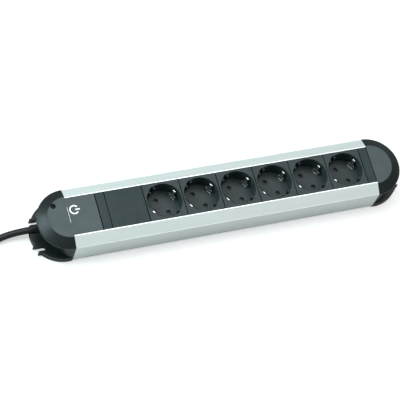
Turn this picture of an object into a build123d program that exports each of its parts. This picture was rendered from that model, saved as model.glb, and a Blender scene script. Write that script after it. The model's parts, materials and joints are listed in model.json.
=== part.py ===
from build123d import *
from math import cos, pi, radians, sin, sqrt, tan
import os

os.makedirs("parts", exist_ok=True)

# A desk power strip: an extruded aluminium channel between two half-round end
# caps, with six earthed socket modules and one blank module snapped between
# its lips. X runs along the strip, with the supply cable at -X. Y runs across
# it and Z is up. The origin is the middle of the footprint, on the desk.

# Channel
PROFILE_LENGTH = 350.0
HALF_LENGTH = PROFILE_LENGTH / 2
HEIGHT = 40.0
WALL_HALF = 35.2
SHOULDER_HALF = 34.5
SHOULDER_Z = 33.5
FOOT_RADIUS = 5.5
SKIN = 1.6
FLOOR = 1.8
LIP_INNER = 21.9
LIP_OUTER = 22.9
GROOVE_HALF = 33.9
GROOVE_Z = 34.3
WEB_OUTER = LIP_INNER + 1.5
WEB_FOOT_Z = 29.0
SLOPE = (HEIGHT - GROOVE_Z) / (GROOVE_HALF - LIP_OUTER)
PORT_Y = 27.5
PORT_Z = 27.0
PORT_RADIUS = 3.3
SCREW_RADIUS = 1.5

# Row of modules, from -X to +X
PITCH = 42.4
SPACER = 10.2
COVER_INSIDE = 32.8
MODULE_GAP = 0.8
MODULE_LENGTH = PITCH - MODULE_GAP
PLATE_HALF = 21.75
PLATE_TOP = 39.8
PLATE = 1.8
SOCKETS = 6
BLANK_START = -HALF_LENGTH + COVER_INSIDE + SPACER
SOCKET_START = BLANK_START + PITCH
ROW_END = SOCKET_START + SOCKETS * PITCH

# Socket
WELL_RADIUS = 19.5
WELL_DEPTH = 17.5
CUP_RADIUS = 20.9
CUP_FLOOR = 2.2
WELL_Z = PLATE_TOP - WELL_DEPTH
CUP_Z = WELL_Z - CUP_FLOOR
PIN_REACH = 9.5
PIN_TURN = 35.0
PIN_AXIS = (sin(radians(PIN_TURN)), -cos(radians(PIN_TURN)), 0)
PIN_HOLE = 2.75
RIB_WIDTH = 9.0
RIB_INNER = 17.6
RIB_TOP = PLATE_TOP - 2.5
RIB_NOTCH_WIDTH = 5.2
RIB_NOTCH_DEPTH = 9.0
RIB_NOTCH_REACH = 19.0
ISLAND_WIDTH = 17.2
ISLAND_RISE = 0.5
CLIP_SLOT = (9.8, 3.8)
CLIP_SLOT_REACH = 16.3
PIVOT_RADIUS = 1.5
PIVOT_FOOT_Z = 12.4

# Shutter and contacts
SHUTTER_Z = 18.0
SHUTTER = 1.8
LOBE_RADIUS = 3.1
RAIL_Z = 2.6
RAIL = 0.6
RAIL_WIDTH = 5.2
RAIL_START = -96.0
JAW_TOP = 16.2
EARTH_RAIL_Z = 8.2
EARTH_RAIL_Y = 13.65
CLIP_BAR = 0.8

# End caps, measured outward from the channel's end
FLANGE_RADIUS = 34.7
FLANGE_CENTRE = 4.5
FLANGE = 8.8
CAP_FLOOR = 3.8
CAP_WALL_X = 21.0
CAP_WALL_Y = 34.2
CAP_SKIN = 2.0
BULKHEAD = 2.2
DECK_RADIUS = 33.6
DECK = 1.6
RIM_RADIUS = 34.6
RIM_FOOT_Z = 31.5
RIM_EDGE = 0.6
DISC_RADIUS = 23.7
DOME_INNER = 23.85
LEDGE_INNER = 22.0
SLOTS = ((-13.55, 5.5, 25.0), (17.45, 5.9, 25.5))
SLOT_LIPS = ((-17.3, 36.3), (-10.3, 37.4), (13.5, 39.0), (21.4, 35.0))
LIP_THICK = 2.0
COVER_SCREW = (14.3, -14.9)
BOSS_RADIUS = 3.6
BOSS_TOP = 36.95
CLAMP_X = 8.0
CLAMP_SCREW_REACH = 7.0
SCREW_RECESS = 1.4
PLATE_EDGE = 0.25

# Supply cable
CABLE = 7.5
CABLE_RADIUS = CABLE / 2
CABLE_Y = 5.2
CABLE_Z = 9.0
RELIEF_TIP = 34.0
RELIEF_START = 12.0
SHEATH_START = 2.0
CORE_RADIUS = 1.4
COIL_X = -309.0
COIL_Y = 22.25
COIL_ENTRY_Y = -29.0
COIL_OUTER = 49.5
COIL_INNER = 32.5
COIL_LAYERS = 2
TERMINAL_X = -152.0
TERMINAL_LENGTH = 16.0
TERMINAL_Z = 8.5
TERMINAL_PITCH = 10.0

# Plug, lying on its flat back with the pins up
PLUG_TURN = -27.0
PLUG_BACK = 15.0
PLUG_BACK_RADIUS = 19.5
PLUG_FRONT = 17.3
PLUG_FRONT_RADIUS = 18.6
PLUG_FACE = PLUG_BACK + PLUG_FRONT
PLUG_PIN_RADIUS = 2.4
PLUG_PIN_LENGTH = 19.0
BOOT_TIP = 34.0
BOOT_X = -358.5
BOOT_Y = -16.2
BOOT_Z = 8.6
PLUG_X = BOOT_X - BOOT_TIP * cos(radians(PLUG_TURN))
PLUG_Y = BOOT_Y - BOOT_TIP * sin(radians(PLUG_TURN))

LEAD_ROUTE = (
    (-HALF_LENGTH - RELIEF_TIP, CABLE_Y, CABLE_Z),
    (-221.0, CABLE_Y, CABLE_Z),
    (-238.0, 4.6, 7.2),
    (-253.0, 1.6, 4.8),
    (-268.0, -7.0, 3.75),
    (-281.0, -18.2, 3.75),
    (-294.5, -26.2, 3.75),
)
TAIL_ROUTE = (
    (COIL_X, COIL_ENTRY_Y, 11.25),
    (-324.0, -28.7, 11.2),
    (-337.0, -26.0, 10.2),
    (-348.5, -21.3, 9.0),
    (BOOT_X, BOOT_Y, BOOT_Z),
)


def save(piece, name):
    piece.part.label = name
    export_step(piece.part, f"parts/{name}.step")


def level(z, x=0.0, y=0.0):
    """A horizontal work plane."""
    return Plane(origin=(x, y, z), x_dir=(1, 0, 0), z_dir=(0, 0, 1))


def end_frame(side, z=0.0):
    """A horizontal plane at a channel end, with its x axis pointing outward."""
    return Plane(origin=(side * HALF_LENGTH, 0, z), x_dir=(side, 0, 0), z_dir=(0, 0, 1))


def end_section(side):
    """The upright plane of a cap's profile, x outward and y up."""
    return Plane(origin=(side * HALF_LENGTH, 0, 0), x_dir=(side, 0, 0), z_dir=(0, -side, 0))


def pin_frame(centre, z):
    """A horizontal plane at a socket's centre, x along its pins, y along its earth."""
    return Plane(origin=(centre, 0, z), x_dir=PIN_AXIS, z_dir=(0, 0, 1))


def socket_centre(number):
    return SOCKET_START + (number + 0.5) * PITCH


def aluminium_profile():
    """U-shaped extrusion: sloped shoulders, in-turned webs and two screw ports."""
    inner_half = WALL_HALF - SKIN
    drop = SKIN * sqrt(1 + SLOPE**2)
    with BuildPart() as profile:
        with BuildSketch(Plane.YZ):
            with BuildLine():
                base = Line((0, 0), (WALL_HALF - FOOT_RADIUS, 0))
                bend = JernArc(base @ 1, (1, 0), FOOT_RADIUS, 90)
                rise = Polyline(
                    bend @ 1,
                    (SHOULDER_HALF + 0.4, SHOULDER_Z - 0.5),
                    (SHOULDER_HALF, SHOULDER_Z),
                    (GROOVE_HALF, SHOULDER_Z),
                    (GROOVE_HALF, GROOVE_Z),
                    (LIP_OUTER, HEIGHT),
                    (LIP_INNER, HEIGHT),
                    (LIP_INNER, WEB_FOOT_Z),
                    (WEB_OUTER, WEB_FOOT_Z),
                    (WEB_OUTER, HEIGHT - drop - SLOPE * (WEB_OUTER - LIP_OUTER)),
                    (inner_half - 0.4, HEIGHT - drop - SLOPE * (inner_half - 0.4 - LIP_OUTER)),
                    (inner_half, FOOT_RADIUS),
                )
                corner = JernArc(rise @ 1, (0, -1), FOOT_RADIUS - FLOOR, -90)
                Polyline(corner @ 1, (0, FLOOR), (0, 0))
            make_face()
            with Locations((PORT_Y, PORT_Z)):
                Circle(PORT_RADIUS)
            with Locations((PORT_Y, PORT_Z + 6.0)):
                Rectangle(SKIN, 6.4)
            with Locations((PORT_Y, PORT_Z)):
                Circle(SCREW_RADIUS + 0.05, mode=Mode.SUBTRACT)
            mirror(about=Plane.YZ)
        extrude(amount=HALF_LENGTH, both=True)
    save(profile, "aluminium_profile")


def half_sketch_trim():
    """Keeps only the outward half of a cap sketch."""
    Rectangle(90, 90, align=(Align.MIN, Align.CENTER), mode=Mode.INTERSECT)


def end_cap(side, name):
    """Moulded base of one end: slotted foot, recessed wall, deck and bulkhead."""
    with BuildPart() as cap:
        with BuildSketch(end_frame(side)):
            with Locations((FLANGE_CENTRE, 0)):
                Circle(FLANGE_RADIUS)
            half_sketch_trim()
            for lip_y, lip_tip in SLOT_LIPS:
                with Locations((lip_tip - 6.0, lip_y)):
                    SlotOverall(12.0, LIP_THICK)
            for slot_y, width, inner_end in SLOTS:
                with Locations((inner_end + 15.0, slot_y)):
                    SlotOverall(30.0, width, mode=Mode.SUBTRACT)
        extrude(amount=FLANGE)
        with BuildSketch(end_frame(side, CAP_FLOOR)):
            Ellipse(CAP_WALL_X, CAP_WALL_Y)
            half_sketch_trim()
        extrude(amount=RIM_FOOT_Z - CAP_FLOOR)
        with BuildSketch(end_frame(side, RIM_FOOT_Z - DECK)):
            Circle(DECK_RADIUS)
            half_sketch_trim()
        extrude(amount=DECK)
        with BuildSketch(end_frame(side, CAP_FLOOR)):
            Ellipse(CAP_WALL_X - CAP_SKIN, CAP_WALL_Y - CAP_SKIN)
            with Locations((BULKHEAD, 0)):
                half_sketch_trim()
        extrude(amount=RIM_FOOT_Z, mode=Mode.SUBTRACT)
        with BuildSketch(end_frame(side, CAP_FLOOR)):
            with Locations((BULKHEAD / 2, 0)):
                Rectangle(2 * BULKHEAD, 30.0)
        extrude(amount=RIM_FOOT_Z, mode=Mode.SUBTRACT)
        with BuildSketch(end_frame(side, CAP_FLOOR)):
            with Locations(COVER_SCREW):
                Circle(BOSS_RADIUS)
            for offset in (-CLAMP_SCREW_REACH, CLAMP_SCREW_REACH):
                with Locations((CLAMP_X, offset - CABLE_Y)):
                    Circle(2.4)
        extrude(amount=CABLE_Z + 0.1 - CAP_FLOOR)
        with BuildSketch(end_frame(side, CABLE_Z)):
            with Locations(COVER_SCREW):
                Circle(BOSS_RADIUS)
        extrude(amount=BOSS_TOP - CABLE_Z)
        with BuildSketch(end_frame(side, BOSS_TOP)):
            with Locations(COVER_SCREW):
                Circle(1.3)
        extrude(amount=-14.0, mode=Mode.SUBTRACT)
        with BuildSketch(end_frame(side, CABLE_Z + 0.1)):
            for offset in (-CLAMP_SCREW_REACH, CLAMP_SCREW_REACH):
                with Locations((CLAMP_X, offset - CABLE_Y)):
                    Circle(1.1)
        extrude(amount=-4.0, mode=Mode.SUBTRACT)
        with BuildSketch(end_frame(side, CAP_FLOOR)):
            with Locations((CAP_WALL_X - CAP_SKIN - 0.4, -CABLE_Y)):
                Rectangle(26.0, 9.2, align=(Align.MIN, Align.CENTER))
        extrude(amount=CABLE_Z - CAP_FLOOR, mode=Mode.SUBTRACT)
        tunnel = Plane(
            origin=(side * (HALF_LENGTH + 15.0), -side * CABLE_Y, CABLE_Z),
            x_dir=(0, 1, 0),
            z_dir=(side, 0, 0),
        )
        with BuildSketch(tunnel):
            Circle(4.75)
        extrude(amount=12.0, mode=Mode.SUBTRACT)
        for port_y in (-PORT_Y, PORT_Y):
            hole = Plane(
                origin=(side * (HALF_LENGTH - 1.0), port_y, PORT_Z),
                x_dir=(0, 1, 0),
                z_dir=(side, 0, 0),
            )
            with BuildSketch(hole):
                Circle(SCREW_RADIUS + 0.15)
            extrude(amount=BULKHEAD + 2.0, mode=Mode.SUBTRACT)
    save(cap, name)


def cap_dome(side, name):
    """Sloped half-ring over a cap, flush with the channel's shoulders."""
    start_z = HEIGHT - SLOPE * (DOME_INNER - LIP_OUTER)
    rim_z = HEIGHT - SLOPE * (RIM_RADIUS - LIP_OUTER)
    with BuildPart() as dome:
        with BuildSketch(end_section(side)):
            with BuildLine():
                Polyline(
                    (DOME_INNER, start_z),
                    (RIM_RADIUS - RIM_EDGE, rim_z + RIM_EDGE * SLOPE),
                    (RIM_RADIUS, rim_z - RIM_EDGE / 2),
                    (RIM_RADIUS, RIM_FOOT_Z),
                    (RIM_RADIUS - 1.8, RIM_FOOT_Z),
                    (RIM_RADIUS - 1.8, rim_z - 1.0),
                    (LEDGE_INNER, BOSS_TOP - 0.7),
                    (LEDGE_INNER, PLATE_TOP - PLATE),
                    (DOME_INNER, PLATE_TOP - PLATE),
                    close=True,
                )
            make_face()
        revolve(axis=Axis((side * HALF_LENGTH, 0, 0), (0, 0, 1)))
        split(bisect_by=Plane(origin=(side * HALF_LENGTH, 0, 0), z_dir=(side, 0, 0)))
        with BuildSketch(end_frame(side, BOSS_TOP - 3.0)):
            with Locations(COVER_SCREW):
                Circle(BOSS_RADIUS + 0.35)
        extrude(amount=4.3, mode=Mode.SUBTRACT)
        with BuildSketch(end_frame(side, RIM_FOOT_Z + 0.7)):
            for slit_y in (-33.0, 33.0):
                with Locations((13.7, slit_y)):
                    Rectangle(5.6, 6.0)
        extrude(amount=0.9, mode=Mode.SUBTRACT)
    save(dome, name)


def cover_skirts(start, length):
    """Two thin clip walls under a plate, inside the channel's webs."""
    for side in (-1, 1):
        with BuildSketch(level(WEB_FOOT_Z, start, side * (PLATE_HALF - 0.75))) as skirt:
            Rectangle(length, 1.5, align=(Align.MIN, Align.CENTER))
        extrude(skirt.sketch, amount=PLATE_TOP - PLATE - WEB_FOOT_Z)


def left_cover_plate():
    """Plate with a half-round outer end, a straight inner part and one screw."""
    inside = COVER_INSIDE - MODULE_GAP / 2 - 0.2
    with BuildPart() as plate:
        with BuildSketch(end_frame(-1, PLATE_TOP - PLATE)):
            Circle(DISC_RADIUS)
            half_sketch_trim()
            Rectangle(inside, 2 * PLATE_HALF, align=(Align.MAX, Align.CENTER))
        extrude(amount=PLATE)
        chamfer(plate.faces().sort_by(Axis.Z)[-1].edges(), PLATE_EDGE)
        with BuildSketch(end_frame(-1, BOSS_TOP + 0.05)):
            with Locations(COVER_SCREW):
                Circle(BOSS_RADIUS)
        extrude(amount=PLATE_TOP - PLATE - BOSS_TOP)
        cover_skirts(-HALF_LENGTH + 0.6, inside - 1.2)
        with BuildSketch(end_frame(-1, PLATE_TOP)):
            with Locations(COVER_SCREW):
                Circle(3.1)
        extrude(amount=-SCREW_RECESS, mode=Mode.SUBTRACT)
        with BuildSketch(end_frame(-1, PLATE_TOP)):
            with Locations(COVER_SCREW):
                Circle(1.4)
        extrude(amount=-6.0, mode=Mode.SUBTRACT)
    save(plate, "left_cover_plate")


def right_cover_plate():
    """Half-round plate that clips into the plain end."""
    with BuildPart() as plate:
        with BuildSketch(end_frame(1, PLATE_TOP - PLATE)):
            Circle(DISC_RADIUS)
            with Locations((0.45, 0)):
                half_sketch_trim()
        extrude(amount=PLATE)
        chamfer(plate.faces().sort_by(Axis.Z)[-1].edges(), PLATE_EDGE)
        with BuildSketch(end_frame(1, PLATE_TOP - PLATE)):
            with Locations((1.6, -12.0), (1.6, 12.0)):
                Rectangle(1.8, 10.0)
        extrude(amount=-5.0)
    save(plate, "right_cover_plate")


def cover_screw():
    """Socket-head screw through the left cover plate."""
    with BuildPart() as screw:
        with BuildSketch(end_frame(-1, PLATE_TOP - SCREW_RECESS)):
            with Locations(COVER_SCREW):
                Circle(2.85)
        extrude(amount=1.2)
        chamfer(screw.edges().filter_by(GeomType.CIRCLE).sort_by(Axis.Z)[-1], 0.3)
        with BuildSketch(end_frame(-1, PLATE_TOP - 0.2)):
            with Locations(COVER_SCREW):
                RegularPolygon(1.35, 6)
        extrude(amount=-0.95, mode=Mode.SUBTRACT)
        with BuildSketch(end_frame(-1, PLATE_TOP - SCREW_RECESS)):
            with Locations(COVER_SCREW):
                Circle(1.25)
        extrude(amount=-13.0)
    save(screw, "cover_screw")


def spacer(name, start):
    """Narrow filler strip between a cap's plate and the first module."""
    length = SPACER - MODULE_GAP - 0.1
    with BuildPart() as strip:
        with BuildSketch(level(PLATE_TOP - PLATE, start + SPACER / 2)):
            Rectangle(length, 2 * PLATE_HALF)
        extrude(amount=PLATE)
        chamfer(strip.faces().sort_by(Axis.Z)[-1].edges(), 0.2)
        cover_skirts(start + SPACER / 2 - length / 2 + 0.5, length - 1.0)
    save(strip, name)


def hooks(centre):
    """Snap hooks that catch under the channel's webs."""
    for side in (-1, 1):
        with BuildSketch(level(WEB_FOOT_Z - 2.2, centre, side * (WEB_OUTER - 2.0))) as hook:
            Rectangle(8.0, 3.0)
        extrude(hook.sketch, amount=1.8)


def blank_module():
    """Plain module that fills one socket's place."""
    centre = BLANK_START + PITCH / 2
    top = PLATE_TOP - 0.3
    foot = WEB_FOOT_Z - 3.0
    with BuildPart() as blank:
        with BuildSketch(level(foot, centre)):
            Rectangle(MODULE_LENGTH, 2 * PLATE_HALF)
        extrude(amount=top - foot)
        chamfer(blank.faces().sort_by(Axis.Z)[-1].edges(), 0.3)
        with BuildSketch(level(foot, centre)):
            Rectangle(MODULE_LENGTH - 3.0, 2 * PLATE_HALF - 3.0)
        extrude(amount=top - PLATE - foot, mode=Mode.SUBTRACT)
        hooks(centre)
    save(blank, "blank_module")


def socket(number):
    """One earthed socket insert: plate, round well, floor and shutter pivot."""
    centre = socket_centre(number)
    with BuildPart() as body:
        with BuildSketch(level(PLATE_TOP - CUP_FLOOR, centre)):
            Rectangle(MODULE_LENGTH, 2 * PLATE_HALF)
        extrude(amount=CUP_FLOOR)
        chamfer(body.faces().sort_by(Axis.Z)[-1].edges(), 0.3)
        with BuildSketch(level(CUP_Z, centre)):
            Circle(CUP_RADIUS)
        extrude(amount=PLATE_TOP - CUP_FLOOR / 2 - CUP_Z)
        with BuildSketch(level(WELL_Z, centre)):
            Circle(WELL_RADIUS)
        extrude(amount=WELL_DEPTH, mode=Mode.SUBTRACT)
        chamfer(body.edges().filter_by(GeomType.CIRCLE).sort_by(Axis.Z)[-1], 0.35)
        with BuildSketch(pin_frame(centre, WELL_Z - 0.2)):
            Circle(WELL_RADIUS + 0.1)
            Rectangle(2 * WELL_RADIUS + 2, ISLAND_WIDTH, mode=Mode.INTERSECT)
        extrude(amount=ISLAND_RISE + 0.2)
        with BuildSketch(pin_frame(centre, WELL_Z)):
            Circle(WELL_RADIUS + 0.2)
            Circle(RIB_INNER, mode=Mode.SUBTRACT)
            Rectangle(2 * WELL_RADIUS + 2, RIB_WIDTH, mode=Mode.INTERSECT)
        extrude(amount=RIB_TOP - WELL_Z)
        with BuildSketch(pin_frame(centre, RIB_TOP - RIB_NOTCH_DEPTH)):
            with Locations((-RIB_NOTCH_REACH, 0), (RIB_NOTCH_REACH, 0)):
                Rectangle(3.0, RIB_NOTCH_WIDTH)
        extrude(amount=PLATE_TOP - RIB_TOP + RIB_NOTCH_DEPTH + 0.5, mode=Mode.SUBTRACT)
        with BuildSketch(pin_frame(centre, WELL_Z + ISLAND_RISE - 0.3)):
            with Locations((-PIN_REACH, 0), (PIN_REACH, 0)):
                Circle(PIN_HOLE + 0.6)
        extrude(amount=1.0, mode=Mode.SUBTRACT)
        with BuildSketch(pin_frame(centre, CUP_Z - 1.0)):
            with Locations((-PIN_REACH, 0), (PIN_REACH, 0)):
                Circle(PIN_HOLE)
            with Locations((0, -CLIP_SLOT_REACH), (0, CLIP_SLOT_REACH)):
                Rectangle(*CLIP_SLOT)
        extrude(amount=CUP_FLOOR + 2.0, mode=Mode.SUBTRACT)
        with BuildSketch(level(PIVOT_FOOT_Z, centre)):
            Circle(PIVOT_RADIUS)
        extrude(amount=CUP_Z + 0.5 - PIVOT_FOOT_Z)
        with BuildSketch(level(PIVOT_FOOT_Z, centre)):
            Circle(PIVOT_RADIUS + 1.3)
        extrude(amount=0.8)
        hooks(centre)
    save(body, f"socket_{number + 1}")


def shutter(number):
    """Turning safety shutter: two lobes that cover the pin holes from below."""
    centre = socket_centre(number)
    with BuildPart() as blade:
        with BuildSketch(pin_frame(centre, SHUTTER_Z)):
            Rectangle(2 * PIN_REACH, 4.2)
            Circle(3.6)
            with Locations((-PIN_REACH, 0), (PIN_REACH, 0)):
                Circle(LOBE_RADIUS)
        extrude(amount=SHUTTER)
        chamfer(blade.faces().sort_by(Axis.Z)[-1].edges(), 0.4)
        with BuildSketch(pin_frame(centre, SHUTTER_Z)):
            Circle(PIVOT_RADIUS + 0.08)
        extrude(amount=SHUTTER, mode=Mode.SUBTRACT)
    save(blade, f"shutter_{number + 1}")


def shutter_spring(number):
    """Hairpin wire spring round the pivot that turns the shutter shut."""
    centre = socket_centre(number)
    wire = 0.3
    bend = PIVOT_RADIUS + wire + 0.15
    home = pin_frame(centre, SHUTTER_Z - 1.2)
    with BuildPart() as spring:
        with BuildLine(home) as path:
            near = Line((8.5, bend), (0, bend))
            turn = JernArc(near @ 1, (-1, 0), bend, 180)
            Line(turn @ 1, (8.5, -bend))
        with BuildSketch(Plane(origin=path.line @ 0, z_dir=path.line % 0)):
            Circle(wire)
        sweep()
    save(spring, f"shutter_spring_{number + 1}")


def contact_rail(name, side):
    """Brass strip along the floor with one two-leaf jaw under each pin hole."""
    rail_y = side * PIN_REACH * cos(radians(PIN_TURN))
    offset = -side * PIN_REACH * sin(radians(PIN_TURN))
    last = socket_centre(SOCKETS - 1) + offset + 4.0
    with BuildPart() as rail:
        with BuildSketch(level(RAIL_Z, RAIL_START, rail_y)):
            Rectangle(last - RAIL_START, RAIL_WIDTH, align=(Align.MIN, Align.CENTER))
        extrude(amount=RAIL)
        for number in range(SOCKETS):
            jaw_x = socket_centre(number) + offset
            for leaf in (-1, 1):
                with BuildSketch(Plane.YZ.offset(jaw_x)):
                    with BuildLine():
                        Polyline(
                            (rail_y + leaf * 2.5, RAIL_Z + RAIL / 2),
                            (rail_y + leaf * 2.5, 9.0),
                            (rail_y + leaf * 2.2, 12.5),
                            (rail_y + leaf * 3.0, JAW_TOP),
                            (rail_y + leaf * 3.6, JAW_TOP),
                            (rail_y + leaf * 2.8, 12.5),
                            (rail_y + leaf * 3.1, 9.0),
                            (rail_y + leaf * 3.1, RAIL_Z + RAIL / 2),
                            close=True,
                        )
                    make_face()
                extrude(amount=2.5, both=True)
    save(rail, name)


def earth_rail():
    """Strip that joins the earth clips of all the sockets."""
    last = socket_centre(SOCKETS - 1) + 18.0
    with BuildPart() as rail:
        with BuildSketch(level(EARTH_RAIL_Z, RAIL_START, EARTH_RAIL_Y)):
            Rectangle(last - RAIL_START, 4.5, align=(Align.MIN, Align.CENTER))
        extrude(amount=RAIL)
    save(rail, "earth_rail")


def earth_clip(number):
    """Sprung earth bow: a cross bar with an arm up each side of the well."""
    centre = socket_centre(number)
    bar_z = EARTH_RAIL_Z + RAIL
    upright = Plane(origin=(centre, 0, 0), x_dir=(-PIN_AXIS[1], PIN_AXIS[0], 0), z_dir=PIN_AXIS)
    lower = ((16.4, bar_z), (16.4, 19.5), (15.2, 23.5), (15.5, 28.0))
    upper = ((15.5, 28.0), (17.3, 33.0), (17.0, 36.3))
    with BuildPart() as clip:
        with BuildSketch(pin_frame(centre, bar_z)):
            Rectangle(6.0, 2 * 17.1)
        extrude(amount=CLIP_BAR)
        for side in (-1, 1):
            for arm, half_width in ((lower, 4.4), (upper, 1.5)):
                with BuildSketch(upright):
                    with BuildLine():
                        Polyline(
                            *[(side * reach, height) for reach, height in arm],
                            *[(side * (reach + 0.7), height) for reach, height in reversed(arm)],
                            close=True,
                        )
                    make_face()
                extrude(amount=half_width, both=True)
    save(clip, f"earth_clip_{number + 1}")


def contact_carrier():
    """Insulating tray that holds the rails under the sockets."""
    start = SOCKET_START - 1.0
    length = SOCKETS * PITCH + 2.0
    with BuildPart() as tray:
        with BuildSketch(level(FLOOR + 0.1, start)):
            Rectangle(length, 41.0, align=(Align.MIN, Align.CENTER))
        extrude(amount=RAIL_Z - FLOOR - 0.1)
        for side in (-1, 1):
            with BuildSketch(level(RAIL_Z, start, side * 19.9)):
                Rectangle(length, 1.2, align=(Align.MIN, Align.CENTER))
            extrude(amount=CUP_Z - 0.2 - RAIL_Z)
        for number in range(SOCKETS + 1):
            with BuildSketch(level(RAIL_Z, SOCKET_START + number * PITCH)):
                Rectangle(1.6, 39.0)
            extrude(amount=EARTH_RAIL_Z - RAIL_Z)
        for side in (-1, 1):
            rail_y = side * PIN_REACH * cos(radians(PIN_TURN))
            with BuildSketch(level(RAIL_Z, start, rail_y)):
                Rectangle(length, RAIL_WIDTH + 1.6, align=(Align.MIN, Align.CENTER))
            extrude(amount=3.0, mode=Mode.SUBTRACT)
    save(tray, "contact_carrier")


def terminal_block():
    """Three-pole screw terminal between the supply cable and the rails."""
    with BuildPart() as block:
        with BuildSketch(level(FLOOR + 0.1, TERMINAL_X)):
            Rectangle(TERMINAL_LENGTH, 32.0)
        extrude(amount=12.6)
        chamfer(block.faces().sort_by(Axis.Z)[-1].edges(), 0.8)
        with BuildSketch(Plane.YZ.offset(TERMINAL_X - TERMINAL_LENGTH / 2)):
            for pole in (-1, 0, 1):
                with Locations((pole * TERMINAL_PITCH, TERMINAL_Z)):
                    Circle(1.9)
        extrude(amount=TERMINAL_LENGTH, mode=Mode.SUBTRACT)
        with BuildSketch(level(20.0, TERMINAL_X)):
            with GridLocations(9.0, TERMINAL_PITCH, 2, 3):
                Circle(1.7)
        extrude(amount=-10.0, mode=Mode.SUBTRACT)
    save(block, "terminal_block")

    with BuildPart() as screws:
        with BuildSketch(level(TERMINAL_Z + 2.4, TERMINAL_X)):
            with GridLocations(9.0, TERMINAL_PITCH, 2, 3):
                Circle(1.6)
        extrude(amount=3.2)
        with BuildSketch(level(TERMINAL_Z + 5.6, TERMINAL_X)):
            with GridLocations(9.0, TERMINAL_PITCH, 2, 3):
                Rectangle(0.5, 4.0)
        extrude(amount=-0.8, mode=Mode.SUBTRACT)
    save(screws, "terminal_screws")


def bent_rod(points, radius, bends):
    """Round rod along straight runs joined by tangent arcs of the given radii."""
    with BuildLine() as path:
        FilletPolyline(*points, radius=bends)
    with BuildSketch(Plane(origin=path.line @ 0, z_dir=path.line % 0)) as end:
        Circle(radius)
    sweep(end.sketch, path=path.line)


def core_pair(name, pole, sheath_spot, rail_spot):
    """One core from the cable to its terminal, and one from there to its rail."""
    near = TERMINAL_X - TERMINAL_LENGTH / 2
    far = TERMINAL_X + TERMINAL_LENGTH / 2
    terminal_y = pole * TERMINAL_PITCH
    start = -HALF_LENGTH - SHEATH_START
    first = (
        (start, *sheath_spot),
        (start + 5.0, *sheath_spot),
        (near - 5.0, terminal_y, TERMINAL_Z),
        (near + 3.0, terminal_y, TERMINAL_Z),
    )
    second = (
        (far - 3.0, terminal_y, TERMINAL_Z),
        (far + 8.0, terminal_y, TERMINAL_Z),
        (RAIL_START - 12.0, rail_spot[0], rail_spot[1] + 0.1),
        (RAIL_START + 3.0, rail_spot[0], rail_spot[1]),
    )
    with BuildPart() as core:
        bent_rod(first, CORE_RADIUS, 3.0)
        bent_rod(second, CORE_RADIUS, 6.0)
    save(core, name)


def inner_cores():
    rail_y = PIN_REACH * cos(radians(PIN_TURN))
    on_rail = RAIL_Z + RAIL + CORE_RADIUS + 0.05
    on_earth = EARTH_RAIL_Z + RAIL + CORE_RADIUS + 0.05
    core_pair("live_core", 0, (CABLE_Y, CABLE_Z + 1.75), (rail_y, on_rail))
    core_pair("neutral_core", -1, (CABLE_Y - 1.55, CABLE_Z - 0.95), (-rail_y, on_rail))
    core_pair("earth_core", 1, (CABLE_Y + 1.55, CABLE_Z - 0.95), (EARTH_RAIL_Y, on_earth))


def across(distance):
    """An upright plane outside the left end, facing outward along the cable."""
    return Plane(
        origin=(-HALF_LENGTH - distance, CABLE_Y, CABLE_Z),
        x_dir=(0, -1, 0),
        z_dir=(-1, 0, 0),
    )


def cable_entry():
    """Sheath end, tapered strain relief, clamp saddle and its screws."""
    with BuildPart() as sheath:
        with BuildSketch(across(SHEATH_START)):
            Circle(CABLE_RADIUS)
        extrude(amount=RELIEF_TIP - SHEATH_START)
    save(sheath, "cable_sheath_end")

    with BuildPart() as relief:
        with BuildSketch(across(RELIEF_START)):
            Circle(5.1)
        extrude(amount=5.6)
        with BuildSketch(across(RELIEF_START + 5.6)):
            Circle(4.6)
        with BuildSketch(across(RELIEF_TIP)):
            Circle(CABLE_RADIUS + 0.35)
        loft()
        with BuildSketch(across(RELIEF_START)):
            Circle(CABLE_RADIUS + 0.01)
        extrude(amount=RELIEF_TIP - RELIEF_START, mode=Mode.SUBTRACT)
    save(relief, "strain_relief")

    with BuildPart() as saddle:
        with BuildSketch(end_frame(-1, CABLE_Z + 0.2)):
            with Locations((CLAMP_X, -CABLE_Y)):
                RectangleRounded(6.0, 19.0, 1.5)
        extrude(amount=5.2)
        with BuildSketch(across(4.0)):
            Circle(CABLE_RADIUS + 0.02)
        extrude(amount=8.0, mode=Mode.SUBTRACT)
        with BuildSketch(end_frame(-1, CABLE_Z + 8.0)):
            for offset in (-CLAMP_SCREW_REACH, CLAMP_SCREW_REACH):
                with Locations((CLAMP_X, offset - CABLE_Y)):
                    Circle(1.3)
        extrude(amount=-9.0, mode=Mode.SUBTRACT)
    save(saddle, "cable_clamp")

    with BuildPart() as screws:
        with BuildSketch(end_frame(-1, CABLE_Z + 5.4)):
            for offset in (-CLAMP_SCREW_REACH, CLAMP_SCREW_REACH):
                with Locations((CLAMP_X, offset - CABLE_Y)):
                    Circle(2.2)
        extrude(amount=1.5)
        with BuildSketch(end_frame(-1, CABLE_Z + 5.4)):
            for offset in (-CLAMP_SCREW_REACH, CLAMP_SCREW_REACH):
                with Locations((CLAMP_X, offset - CABLE_Y)):
                    Circle(1.05)
        extrude(amount=-8.6)
        with BuildSketch(end_frame(-1, CABLE_Z + 6.9)):
            for offset in (-CLAMP_SCREW_REACH, CLAMP_SCREW_REACH):
                with Locations((CLAMP_X, offset - CABLE_Y)):
                    Rectangle(0.6, 4.6)
        extrude(amount=-0.8, mode=Mode.SUBTRACT)
    save(screws, "cable_clamp_screws")


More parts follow.
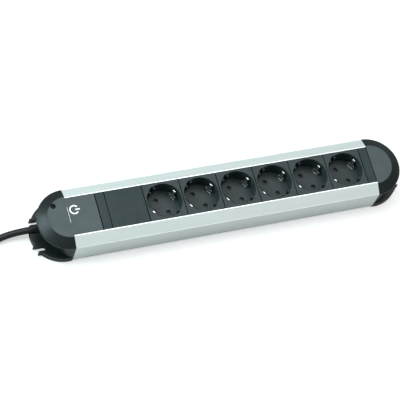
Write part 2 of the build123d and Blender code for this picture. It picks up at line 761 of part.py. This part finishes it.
def end_cap_screws():
    """Four self-tapping screws that hold the caps to the channel's screw ports."""
    with BuildPart() as screws:
        for side in (-1, 1):
            for port_y in (-PORT_Y, PORT_Y):
                seat = Plane(
                    origin=(side * (HALF_LENGTH + BULKHEAD), port_y, PORT_Z),
                    x_dir=(0, 1, 0),
                    z_dir=(side, 0, 0),
                )
                with BuildSketch(seat):
                    Circle(2.7)
                extrude(amount=1.9)
                with BuildSketch(seat):
                    Circle(SCREW_RADIUS)
                extrude(amount=-16.0)
                with BuildSketch(seat.offset(1.9)):
                    Rectangle(0.7, 3.6)
                    Rectangle(3.6, 0.7)
                extrude(amount=-1.1, mode=Mode.SUBTRACT)
    save(screws, "end_cap_screws")


def turn_at(points, index):
    """The angle by which a route turns at one of its points."""
    before = Vector(*points[index]) - Vector(*points[index - 1])
    after = Vector(*points[index + 1]) - Vector(*points[index])
    return before.get_angle(after), before.length, after.length


def cord_tube(name, route):
    """Round cable along its route, each corner as wide as its runs allow."""
    bends = []
    for index in range(1, len(route) - 1):
        angle, before, after = turn_at(route, index)
        bends.append(0.45 * min(before, after) / tan(radians(angle / 2)))
    with BuildPart() as tube:
        with BuildLine() as path:
            FilletPolyline(*route, radius=bends)
        spine = path.wire()
        with BuildSketch(Plane(origin=spine @ 0, z_dir=spine % 0)):
            Circle(CABLE_RADIUS)
        sweep(path=spine)
    expected = pi * CABLE_RADIUS**2 * spine.length
    print(name, "radii", [round(bend, 1) for bend in bends])
    print(name, "length", round(spine.length, 1))
    print(name, "volume over section times length", round(tube.part.volume / expected, 4))
    save(tube, name)


def cord_coil():
    """The put-away length of cable: one ring of the outer shape of its turns."""
    width = COIL_OUTER - COIL_INNER + CABLE
    height = COIL_LAYERS * CABLE
    ring = Plane(origin=(COIL_X, COIL_Y, 0), x_dir=(1, 0, 0), z_dir=(0, -1, 0))
    with BuildPart() as coil:
        with BuildSketch(ring):
            with Locations(((COIL_OUTER + COIL_INNER) / 2, height / 2)):
                RectangleRounded(width, height, CABLE_RADIUS - 0.05)
        revolve(axis=Axis((COIL_X, COIL_Y, 0), (0, 0, 1)))
    save(coil, "cord_coil")


def plug_frame(z):
    """Horizontal plane at the plug, with x pointing back along its cable."""
    turn = radians(PLUG_TURN)
    return Plane(
        origin=(PLUG_X, PLUG_Y, z), x_dir=(cos(turn), sin(turn), 0), z_dir=(0, 0, 1)
    )


def plug():
    """Angled earthed plug: moulded body, two pins and side earth contacts."""
    turn = radians(PLUG_TURN)
    outward = (cos(turn), sin(turn), 0)
    with BuildPart() as body:
        with BuildSketch(plug_frame(0)):
            Circle(PLUG_BACK_RADIUS)
        extrude(amount=PLUG_BACK)
        fillet(body.edges().sort_by(Axis.Z)[0], 2.5)
        with BuildSketch(plug_frame(PLUG_BACK - 0.5)):
            Circle(PLUG_FRONT_RADIUS)
        extrude(amount=PLUG_FRONT + 0.5)
        chamfer(body.faces().sort_by(Axis.Z)[-1].edges(), 0.8)
        for reach, radius in ((12.0, 7.6), (BOOT_TIP, 5.2)):
            station = Plane(
                origin=Vector(PLUG_X, PLUG_Y, BOOT_Z) + Vector(*outward) * reach,
                x_dir=(-sin(turn), cos(turn), 0),
                z_dir=outward,
            )
            with BuildSketch(station):
                Circle(radius)
        loft()
        with BuildSketch(plug_frame(PLUG_BACK)):
            with Locations((0, -19.2), (0, 19.2)):
                Rectangle(6.2, 3.4)
        extrude(amount=PLUG_FRONT, mode=Mode.SUBTRACT)
        with BuildSketch(plug_frame(PLUG_BACK + 1.0)):
            with Locations((-18.6, 0), (18.6, 0)):
                Rectangle(2.6, 6.4)
        extrude(amount=PLUG_FRONT, mode=Mode.SUBTRACT)
        with BuildSketch(plug_frame(PLUG_FACE)):
            with Locations((-10.0, 0)):
                Circle(2.6)
        extrude(amount=-14.0, mode=Mode.SUBTRACT)
    save(body, "plug_body")

    with BuildPart() as pins:
        with BuildSketch(plug_frame(PLUG_FACE)):
            with Locations((0, -PIN_REACH), (0, PIN_REACH)):
                Circle(PLUG_PIN_RADIUS)
        extrude(amount=PLUG_PIN_LENGTH)
        chamfer(pins.faces().sort_by(Axis.Z)[-2:].edges(), 1.0)
    save(pins, "plug_pins")

    with BuildPart() as contacts:
        with BuildSketch(plug_frame(PLUG_BACK + 1.2)):
            with Locations((-18.0, 0), (18.0, 0)):
                Rectangle(1.2, 5.6)
        extrude(amount=PLUG_FRONT - 2.4)
    save(contacts, "plug_earth_contacts")


def build():
    aluminium_profile()
    for side, word in ((-1, "left"), (1, "right")):
        end_cap(side, f"{word}_end_cap")
        cap_dome(side, f"{word}_cap_dome")
    left_cover_plate()
    right_cover_plate()
    cover_screw()
    spacer("left_spacer", BLANK_START - SPACER)
    spacer("right_spacer", ROW_END)
    blank_module()
    for number in range(SOCKETS):
        socket(number)
        shutter(number)
        shutter_spring(number)
        earth_clip(number)
    contact_rail("live_rail", 1)
    contact_rail("neutral_rail", -1)
    earth_rail()
    contact_carrier()
    terminal_block()
    inner_cores()
    cable_entry()
    end_cap_screws()
    cord_tube("cord_lead", LEAD_ROUTE)
    cord_coil()
    cord_tube("cord_tail", TAIL_ROUTE)
    plug()


build()
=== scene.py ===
import json
from math import cos, pi, radians, sin

import bpy
from mathutils import Matrix, Vector


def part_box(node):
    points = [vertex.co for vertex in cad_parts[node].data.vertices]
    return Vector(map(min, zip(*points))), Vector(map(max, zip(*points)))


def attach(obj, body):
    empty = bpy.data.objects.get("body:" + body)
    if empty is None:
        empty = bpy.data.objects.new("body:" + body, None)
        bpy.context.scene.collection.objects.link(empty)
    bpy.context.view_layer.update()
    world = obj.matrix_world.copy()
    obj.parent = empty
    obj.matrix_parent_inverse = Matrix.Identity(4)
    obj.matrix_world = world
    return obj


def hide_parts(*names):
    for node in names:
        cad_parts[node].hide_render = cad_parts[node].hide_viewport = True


MM = 0.001

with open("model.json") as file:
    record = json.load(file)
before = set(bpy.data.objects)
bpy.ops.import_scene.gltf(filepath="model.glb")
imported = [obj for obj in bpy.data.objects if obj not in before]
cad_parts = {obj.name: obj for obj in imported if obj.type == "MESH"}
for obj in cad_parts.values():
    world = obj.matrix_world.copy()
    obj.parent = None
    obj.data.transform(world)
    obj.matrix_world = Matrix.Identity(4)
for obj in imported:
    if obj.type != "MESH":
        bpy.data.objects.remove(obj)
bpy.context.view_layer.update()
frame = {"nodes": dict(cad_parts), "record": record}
nodes = frame["nodes"]

# ---------------------------------------------------------------------------
# Camera
# ---------------------------------------------------------------------------
CAMERA_PLACE = Vector((-591.0, -702.4, 1747.5)) * MM
CAMERA_AIM = Vector((-17.1, 9.35, 0.0)) * MM
CAMERA_ROLL = radians(25.68)
CAMERA_LENS = 160.33


def make_camera():
    data = bpy.data.cameras.new("camera")
    data.lens = CAMERA_LENS
    data.sensor_width = 36.0
    data.clip_start = 0.05
    data.clip_end = 20.0
    camera = bpy.data.objects.new("camera", data)
    bpy.context.scene.collection.objects.link(camera)
    look = (CAMERA_AIM - CAMERA_PLACE).to_track_quat("-Z", "Y").to_matrix()
    roll = Matrix.Rotation(CAMERA_ROLL, 3, "Z")
    camera.matrix_world = Matrix.Translation(CAMERA_PLACE) @ (look @ roll).to_4x4()
    bpy.context.scene.camera = camera


make_camera()

# ---------------------------------------------------------------------------
# Mains cable: straight out of the cap, round a tied coil, then to its plug.
# Places on its route are in millimetres.
# ---------------------------------------------------------------------------
CABLE = 7.5
LEAD_ROUTE = (
    (-209.0, 5.2, 9.0),
    (-221.0, 5.2, 9.0),
    (-238.0, 4.6, 7.2),
    (-253.0, 1.6, 4.8),
    (-268.0, -7.0, 3.75),
    (-281.0, -18.2, 3.75),
    (-294.5, -26.2, 3.75),
)
TAIL_ROUTE = (
    (-324.0, -28.7, 11.2),
    (-337.0, -26.0, 10.2),
    (-348.5, -21.3, 9.0),
    (-358.5, -16.2, 8.6),
)
COIL_X = -309.0
COIL_Y = 22.25
COIL_INNER = 32.5
COIL_FLOOR = CABLE / 2
COIL_TURNS = 5
COIL_LAYERS = 2
CLIMB_TURNS = 0.6
TURN_POINTS = 24


def smooth(share):
    share = min(1.0, max(0.0, share))
    return share * share * (3 - 2 * share)


def strand_place(turns):
    """Radius and height of the coil's strand after so many turns from its start."""
    from_middle = turns - COIL_TURNS / 2
    climb = smooth(from_middle / CLIMB_TURNS + 0.5)
    return COIL_INNER + CABLE * abs(from_middle), COIL_FLOOR + CABLE * climb


def coil_points():
    """A spiral in on the floor layer and, half way, up and out again on the next."""
    points = []
    swell = 1 / cos(pi / TURN_POINTS)
    for step in range(COIL_TURNS * TURN_POINTS + 1):
        turns = step / TURN_POINTS
        angle = -pi / 2 - 2 * pi * turns
        radius, height = strand_place(turns)
        reach = radius * swell
        points.append((COIL_X + reach * cos(angle), COIL_Y + reach * sin(angle), height))
    return points


def cable():
    """One open spline from the cap through the coil to the plug."""
    route = [*LEAD_ROUTE, *coil_points(), *TAIL_ROUTE]
    curve = bpy.data.curves.new("mains_cable", "CURVE")
    curve.dimensions = "3D"
    spline = curve.splines.new("NURBS")
    spline.points.add(len(route) - 1)
    for point, place in zip(spline.points, route):
        point.co = (*(value * MM for value in place), 1.0)
        point.radius = CABLE * MM / 2
    spline.order_u = 3
    spline.use_endpoint_u = True
    spline.resolution_u = 6
    curve.bevel_depth = 1.0
    curve.bevel_resolution = 6
    curve.use_fill_caps = True
    cord = bpy.data.objects.new("mains_cable", curve)
    bpy.context.scene.collection.objects.link(cord)
    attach(cord, "housing")
    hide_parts("cord_lead", "cord_coil", "cord_tail")
    return cord


mains_cable = cable()


# ---------------------------------------------------------------------------
# Materials: every one is procedural, in object space and in metres
# ---------------------------------------------------------------------------
class Shader:
    """A Principled material with small helpers to hang texture nodes on it."""

    def __init__(self, name, **values):
        self.material = bpy.data.materials.new(name)
        self.material.use_nodes = True
        self.nodes = self.material.node_tree.nodes
        self.links = self.material.node_tree.links
        self.surface = self.nodes["Principled BSDF"]
        for socket, value in values.items():
            self.surface.inputs[socket.replace("_", " ")].default_value = value
        self.place = self.nodes.new("ShaderNodeTexCoord").outputs["Object"]

    def stretched(self, scale):
        mapping = self.nodes.new("ShaderNodeMapping")
        mapping.inputs["Scale"].default_value = scale
        self.links.new(self.place, mapping.inputs["Vector"])
        return mapping.outputs["Vector"]

    def noise(self, scale, detail=3.0, stretch=(1, 1, 1)):
        texture = self.nodes.new("ShaderNodeTexNoise")
        texture.inputs["Scale"].default_value = scale
        texture.inputs["Detail"].default_value = detail
        self.links.new(self.stretched(stretch), texture.inputs["Vector"])
        return texture.outputs["Fac"]

    def grains(self, scale):
        texture = self.nodes.new("ShaderNodeTexVoronoi")
        texture.inputs["Scale"].default_value = scale
        self.links.new(self.place, texture.inputs["Vector"])
        return texture.outputs["Distance"]

    def ramp(self, source, low, high, start=0.3, end=0.7):
        ramp = self.nodes.new("ShaderNodeMapRange")
        ramp.inputs["From Min"].default_value = start
        ramp.inputs["From Max"].default_value = end
        ramp.inputs["To Min"].default_value = low
        ramp.inputs["To Max"].default_value = high
        self.links.new(source, ramp.inputs["Value"])
        return ramp.outputs["Result"]

    def tint(self, source, dark, light, start=0.3, end=0.7):
        ramp = self.nodes.new("ShaderNodeValToRGB")
        ramp.color_ramp.elements[0].position = start
        ramp.color_ramp.elements[0].color = (*dark, 1)
        ramp.color_ramp.elements[1].position = end
        ramp.color_ramp.elements[1].color = (*light, 1)
        self.links.new(source, ramp.inputs["Fac"])
        self.links.new(ramp.outputs["Color"], self.surface.inputs["Base Color"])

    def rough(self, source, low, high):
        self.links.new(self.ramp(source, low, high), self.surface.inputs["Roughness"])

    def bump(self, source, distance, strength=1.0, after=None):
        bump = self.nodes.new("ShaderNodeBump")
        bump.inputs["Distance"].default_value = distance
        bump.inputs["Strength"].default_value = strength
        self.links.new(source, bump.inputs["Height"])
        if after is not None:
            self.links.new(after.outputs["Normal"], bump.inputs["Normal"])
        self.links.new(bump.outputs["Normal"], self.surface.inputs["Normal"])
        return bump


def moulded(name, dark, light, low, high, shine=0.5, grain=2600.0, depth=0.00003):
    """Injection-moulded plastic: fine spark-eroded grain, faint flow and handling marks."""
    shader = Shader(name, IOR=1.5, Specular_IOR_Level=shine)
    shader.tint(shader.noise(38.0, 4.0), dark, light)
    shader.rough(shader.noise(120.0, 4.0), low, high)
    fine = shader.bump(shader.noise(grain, 2.0), depth, 0.55)
    shader.bump(shader.noise(320.0, 2.0), 0.00002, 0.35, after=fine)
    return shader.material


def anodised():
    """Satin anodised extrusion: faint drawing lines along X under an even bloom."""
    shader = Shader("anodised_aluminium", Metallic=0.6, IOR=1.6)
    shader.tint(shader.noise(26.0, 3.0, (0.25, 1, 1)), (0.78, 0.838, 0.828), (0.835, 0.882, 0.872))
    shader.rough(shader.noise(900.0, 3.0, (0.012, 1, 1)), 0.36, 0.50)
    lines = shader.bump(shader.noise(1900.0, 4.0, (0.006, 1, 1)), 0.00002, 0.5)
    shader.bump(shader.noise(3200.0, 1.0), 0.00001, 0.4, after=lines)
    return shader.material


def plated(name, dark, light, low, high, stretch=(1, 1, 1)):
    """Pressed or turned metal with a thin plating and light tool marks."""
    shader = Shader(name, Metallic=1.0)
    shader.tint(shader.noise(150.0, 3.0), dark, light)
    shader.rough(shader.noise(700.0, 3.0, stretch), low, high)
    shader.bump(shader.noise(1500.0, 2.0, stretch), 0.00001, 0.5)
    return shader.material


def sheath():
    """Extruded PVC cable sheath: a soft sheen with slight long waves."""
    shader = Shader("cable_black", IOR=1.5, Specular_IOR_Level=0.3)
    shader.tint(shader.noise(60.0, 3.0), (0.008, 0.009, 0.01), (0.016, 0.018, 0.019))
    shader.rough(shader.noise(260.0, 3.0), 0.26, 0.40)
    waves = shader.bump(shader.noise(160.0, 1.0), 0.00006, 0.3)
    shader.bump(shader.noise(3000.0, 2.0), 0.00001, 0.5, after=waves)
    return shader.material


def striped_core():
    """Green insulation with a yellow stripe."""
    shader = Shader("core_green_yellow", IOR=1.5, Roughness=0.4)
    shader.tint(shader.noise(260.0, 1.0, (0.02, 1, 1)), (0.05, 0.25, 0.05), (0.75, 0.65, 0.05), 0.49, 0.51)
    return shader.material


MATERIALS = {
    "anodised_aluminium": anodised(),
    "cap_black": moulded("cap_black", (0.0055, 0.0085, 0.0095), (0.0085, 0.0125, 0.0135), 0.34, 0.44, 0.32),
    "plate_grey": moulded("plate_grey", (0.038, 0.055, 0.058), (0.047, 0.065, 0.069), 0.42, 0.52, 0.36),
    "blank_grey": moulded("blank_grey", (0.019, 0.031, 0.034), (0.025, 0.038, 0.041), 0.46, 0.56, 0.20),
    "socket_grey": moulded("socket_grey", (0.022, 0.033, 0.036), (0.029, 0.041, 0.044), 0.42, 0.52, 0.26),
    "shutter_black": moulded("shutter_black", (0.004, 0.004, 0.004), (0.007, 0.007, 0.007), 0.5, 0.6),
    "screw_black": plated("screw_black", (0.005, 0.006, 0.007), (0.010, 0.011, 0.012), 0.28, 0.40),
    "spring_steel": plated("spring_steel", (0.45, 0.46, 0.47), (0.6, 0.61, 0.62), 0.22, 0.35),
    "nickel_clip": plated("nickel_clip", (0.62, 0.64, 0.64), (0.80, 0.81, 0.80), 0.16, 0.30),
    "contact_brass": plated("contact_brass", (0.60, 0.42, 0.16), (0.75, 0.55, 0.24), 0.24, 0.38),
    "carrier_white": moulded("carrier_white", (0.62, 0.60, 0.54), (0.70, 0.68, 0.62), 0.45, 0.55),
    "zinc_steel": plated("zinc_steel", (0.50, 0.52, 0.54), (0.66, 0.68, 0.70), 0.26, 0.40),
    "core_brown": moulded("core_brown", (0.10, 0.04, 0.015), (0.14, 0.06, 0.02), 0.35, 0.45),
    "core_blue": moulded("core_blue", (0.02, 0.07, 0.30), (0.03, 0.10, 0.38), 0.35, 0.45),
    "core_green_yellow": striped_core(),
    "cable_black": sheath(),
    "plug_black": moulded(
        "plug_black", (0.010, 0.011, 0.012), (0.017, 0.018, 0.020), 0.40, 0.52, grain=1800.0, depth=0.00005
    ),
    "nickel_pins": plated("nickel_pins", (0.66, 0.66, 0.64), (0.80, 0.80, 0.78), 0.12, 0.24),
}


def print_white():
    """Pad-printed ink, slightly raised and a little worn."""
    shader = Shader("printed_white", IOR=1.45)
    shader.tint(shader.noise(900.0, 3.0), (0.55, 0.57, 0.57), (0.86, 0.88, 0.88), 0.25, 0.5)
    shader.rough(shader.noise(500.0, 2.0), 0.45, 0.6)
    shader.bump(shader.noise(2500.0, 2.0), 0.00001, 0.4)
    return shader.material


def strap_fabric():
    """Woven hook-and-loop strap: cross ribs over a fuzzy nap."""
    shader = Shader("strap_fabric", IOR=1.4)
    shader.tint(shader.noise(1400.0, 3.0), (0.012, 0.013, 0.014), (0.045, 0.048, 0.05))
    shader.rough(shader.noise(700.0, 2.0), 0.75, 0.95)
    ribs = shader.bump(shader.grains(1500.0), 0.00012, 0.8)
    shader.bump(shader.noise(4200.0, 3.0), 0.00008, 0.6, after=ribs)
    return shader.material


def dress_nodes():
    """Gives every CAD node the material of its record slot."""
    for entry in frame["record"]["subparts"]:
        node = nodes[entry["node"]]
        node.data.materials.clear()
        node.data.materials.append(MATERIALS[entry["material_slot"]])


dress_nodes()
mains_cable.data.materials.append(MATERIALS["cable_black"])


# ---------------------------------------------------------------------------
# Small pieces that the CAD model leaves to the looks
# ---------------------------------------------------------------------------
def mesh_piece(name, points, faces, material):
    data = bpy.data.meshes.new(name)
    data.from_pydata([tuple(point) for point in points], [], faces)
    data.update()
    data.materials.append(material)
    piece = bpy.data.objects.new(name, data)
    bpy.context.scene.collection.objects.link(piece)
    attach(piece, "housing")
    return piece


def stroke(points, faces, path, width, bottom):
    """Adds a raised ink line of even width along a path of (x, y) points."""
    first = len(points)
    for index, (x, y) in enumerate(path):
        before = path[max(index - 1, 0)]
        after = path[min(index + 1, len(path) - 1)]
        along = Vector((after[0] - before[0], after[1] - before[1])).normalized()
        side = Vector((-along.y, along.x)) * width / 2
        for z in (bottom, bottom + INK_HEIGHT):
            points.append((x + side.x, y + side.y, z))
            points.append((x - side.x, y - side.y, z))
    for index in range(len(path) - 1):
        a = first + 4 * index
        b = a + 4
        faces.append((a, a + 1, b + 1, b))
        faces.append((a + 2, b + 2, b + 3, a + 3))
        faces.append((a, b, b + 2, a + 2))
        faces.append((a + 1, a + 3, b + 3, b + 1))
    last = first + 4 * (len(path) - 1)
    faces.append((first, first + 2, first + 3, first + 1))
    faces.append((last, last + 1, last + 3, last + 2))


MARK_X = -168.0 * MM
MARK_Y = 7.0 * MM
MARK_RADIUS = 4.6 * MM
MARK_LINE = 1.5 * MM
MARK_GAP = radians(38)
MARK_STEPS = 40
BAR_REACH = (0.25, 0.8, 1.35)
RULE_X = MARK_X - 7.0 * MM
RULE_REACH = (-14.0, -5.0, 4.0)
RULE_LINE = 0.35 * MM
INK_HEIGHT = 0.05 * MM


def printed_mark():
    """Generic stand-by symbol with a plain rule beside it, read from the cable end."""
    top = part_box("left_cover_plate")[1].z
    points = []
    faces = []
    ring = []
    for step in range(MARK_STEPS + 1):
        angle = pi + MARK_GAP + 2 * (pi - MARK_GAP) * step / MARK_STEPS
        ring.append((MARK_X - MARK_RADIUS * cos(angle), MARK_Y + MARK_RADIUS * sin(angle)))
    stroke(points, faces, ring, MARK_LINE, top)
    bar = [(MARK_X + MARK_RADIUS * reach, MARK_Y) for reach in BAR_REACH]
    stroke(points, faces, bar, MARK_LINE, top)
    rule = [(RULE_X, MARK_Y + reach * MM) for reach in RULE_REACH]
    stroke(points, faces, rule, RULE_LINE, top)
    mesh_piece("printed_mark", points, faces, print_white())


STRAP_WIDTH = 12.0
STRAP = 1.1
STRAP_EDGE = 0.25
STRAP_COLUMNS = (-1.0, -0.9, -0.3, 0.3, 0.9, 1.0)
STRAP_TURN = 0.25
INNERMOST_TURN = 2
STRAP_CORNER = 4.6
CORNER_STEPS = 8
LAP_START = 5.0
LAP_LENGTH = 12.5
LAP_STEP = 0.5
LAP_CLEAR = 0.15
LAP_TAB = 1.5


def strap_loop(inner, outer, low, high):
    """Rounded rectangle in the bundle's own section, as (radius, height) points."""
    corners = ((outer, low, -pi / 2), (outer, high, 0.0), (inner, high, pi / 2), (inner, low, pi))
    loop = []
    for radius, height, start in corners:
        centre_r = radius + (STRAP_CORNER if radius == inner else -STRAP_CORNER)
        centre_z = height + (STRAP_CORNER if height == low else -STRAP_CORNER)
        for step in range(CORNER_STEPS + 1):
            angle = start + pi / 2 * step / CORNER_STEPS
            loop.append((centre_r + STRAP_CORNER * cos(angle), centre_z + STRAP_CORNER * sin(angle)))
    return loop


def strap_ribbon(points, faces, path, closed):
    """Ribbon of the strap's width and thickness across the bundle at its turn."""
    angle = -pi / 2 - 2 * pi * STRAP_TURN
    outward = Vector((cos(angle), sin(angle), 0.0))
    across = Vector((-sin(angle), cos(angle), 0.0))
    centre = Vector((COIL_X, COIL_Y, 0.0))
    first = len(points)
    count = len(path)
    for index, (radius, height) in enumerate(path):
        before = Vector(path[(index - 1) % count] if closed else path[max(index - 1, 0)])
        after = Vector(path[(index + 1) % count] if closed else path[min(index + 1, count - 1)])
        along = (after - before).normalized()
        normal = Vector((along.y, -along.x))
        for layer in (0.0, 1.0):
            for column in STRAP_COLUMNS:
                edge = STRAP_EDGE if abs(column) == 1.0 else 0.0
                lift = STRAP * (edge + layer * (1 - 2 * edge))
                r = radius + normal.x * lift
                z = height + normal.y * lift
                place = centre + outward * r + across * (column * STRAP_WIDTH / 2)
                place.z = z
                points.append(place * MM)
    width = len(STRAP_COLUMNS)
    ring = 2 * width
    for index in range(count if closed else count - 1):
        a = first + index * ring
        b = first + ((index + 1) % count) * ring
        for step in range(width - 1):
            faces.append((a + step, b + step, b + step + 1, a + step + 1))
            up = width + step
            faces.append((a + up, a + up + 1, b + up + 1, b + up))
        faces.append((a, a + width, b + width, b))
        faces.append((a + width - 1, b + width - 1, b + ring - 1, a + ring - 1))
    if not closed:
        for index in (0, count - 1):
            a = first + index * ring
            for step in range(width - 1):
                faces.append((a + step, a + step + 1, a + width + step + 1, a + width + step))


def coil_strap():
    """Hook-and-loop strap that holds the coil's turns, its end lapped over the top."""
    inner = strand_place(INNERMOST_TURN + STRAP_TURN)[0] - CABLE / 2
    outer = strand_place(STRAP_TURN)[0] + CABLE / 2
    high = COIL_LAYERS * CABLE
    points = []
    faces = []
    strap_ribbon(points, faces, strap_loop(inner, outer, STRAP, high), True)
    lap_top = high + STRAP + LAP_CLEAR
    lap_start = outer - LAP_START
    lap_steps = int(LAP_LENGTH / LAP_STEP)
    lap = [(lap_start - LAP_STEP * step, lap_top) for step in range(lap_steps + 1)]
    lap.append((lap_start - LAP_LENGTH - LAP_TAB, lap_top + LAP_TAB / 3))
    strap_ribbon(points, faces, lap, False)
    strap = mesh_piece("coil_strap", points, faces, strap_fabric())
    for polygon in strap.data.polygons:
        polygon.use_smooth = True


BOOT_TIP = Vector(TAIL_ROUTE[-1]) * MM
BOOT_TURN = radians(-27.0)
BOOT_LENGTH = 22.0
BOOT_RADII = (5.2, 7.6)
RIBS = 5
RIB_START = 2.0
RIB_PITCH = 2.6
RIB_THICK = 0.55
RIB_SEGMENTS = 48
RIB_SIDES = 10


def ringed(points, faces, centre, along, radius):
    """Adds one rib, a torus round an axis through its centre."""
    side = along.cross(Vector((0, 0, 1))).normalized()
    up = side.cross(along)
    first = len(points)
    for segment in range(RIB_SEGMENTS):
        turn = 2 * pi * segment / RIB_SEGMENTS
        out = side * cos(turn) + up * sin(turn)
        for step in range(RIB_SIDES):
            bend = 2 * pi * step / RIB_SIDES
            reach = radius + RIB_THICK * cos(bend)
            points.append(centre + (along * RIB_THICK * sin(bend) + out * reach) * MM)
    for segment in range(RIB_SEGMENTS):
        this = first + segment * RIB_SIDES
        following = first + (segment + 1) % RIB_SEGMENTS * RIB_SIDES
        for step in range(RIB_SIDES):
            after = (step + 1) % RIB_SIDES
            faces.append((this + step, this + after, following + after, following + step))


def boot_ribs():
    """Grip and flex ribs round the plug's cable boot."""
    along = Vector((-cos(BOOT_TURN), -sin(BOOT_TURN), 0.0))
    thin, thick = BOOT_RADII
    points = []
    faces = []
    for rib in range(RIBS):
        reach = RIB_START + RIB_PITCH * rib
        radius = thin + reach * (thick - thin) / BOOT_LENGTH
        ringed(points, faces, BOOT_TIP + along * reach * MM, along, radius)
    ribs = mesh_piece("plug_boot_ribs", points, faces, MATERIALS["plug_black"])
    for polygon in ribs.data.polygons:
        polygon.use_smooth = True


printed_mark()
coil_strap()
boot_ribs()

# ---------------------------------------------------------------------------
# Floor and soft studio light
# ---------------------------------------------------------------------------
FLOOR_GLOW = 0.5


def pale_floor():
    """White sheet that looks brighter to the camera than the light it sends back."""
    shader = Shader("floor", Roughness=0.9)
    shader.tint(shader.noise(3.0, 2.0), (0.60, 0.60, 0.60), (0.62, 0.62, 0.62))
    shader.surface.inputs["Emission Color"].default_value = (1.0, 1.0, 1.0, 1.0)
    seen = shader.nodes.new("ShaderNodeLightPath").outputs["Is Camera Ray"]
    shader.links.new(shader.ramp(seen, 0.0, FLOOR_GLOW, 0.0, 1.0), shader.surface.inputs["Emission Strength"])
    bpy.ops.mesh.primitive_plane_add(size=12.0)
    floor = bpy.context.object
    floor.name = "floor"
    floor.data.materials.append(shader.material)


def soft_box(name, place, size, power, colour=(1.0, 1.0, 1.0)):
    """Rectangular area light that faces the strip."""
    data = bpy.data.lights.new(name, "AREA")
    data.shape = "RECTANGLE"
    data.size, data.size_y = size
    data.energy = power
    data.color = colour
    lamp = bpy.data.objects.new(name, data)
    lamp.location = place
    lamp.rotation_euler = (-Vector(place)).to_track_quat("-Z", "Y").to_euler()
    bpy.context.scene.collection.objects.link(lamp)


def room_light(colour, strength):
    world = bpy.data.worlds.new("studio")
    world.use_nodes = True
    background = world.node_tree.nodes["Background"]
    background.inputs["Color"].default_value = (*colour, 1.0)
    background.inputs["Strength"].default_value = strength
    bpy.context.scene.world = world


pale_floor()
soft_box("top", (0.15, 0.32, 1.4), (1.9, 1.1), 20.0)
soft_box("left", (-1.15, 0.45, 1.0), (0.9, 0.9), 20.0, (0.76, 0.98, 1.0))
room_light((0.90, 1.0, 0.99), 0.28)
bpy.context.scene.view_settings.view_transform = "Standard"
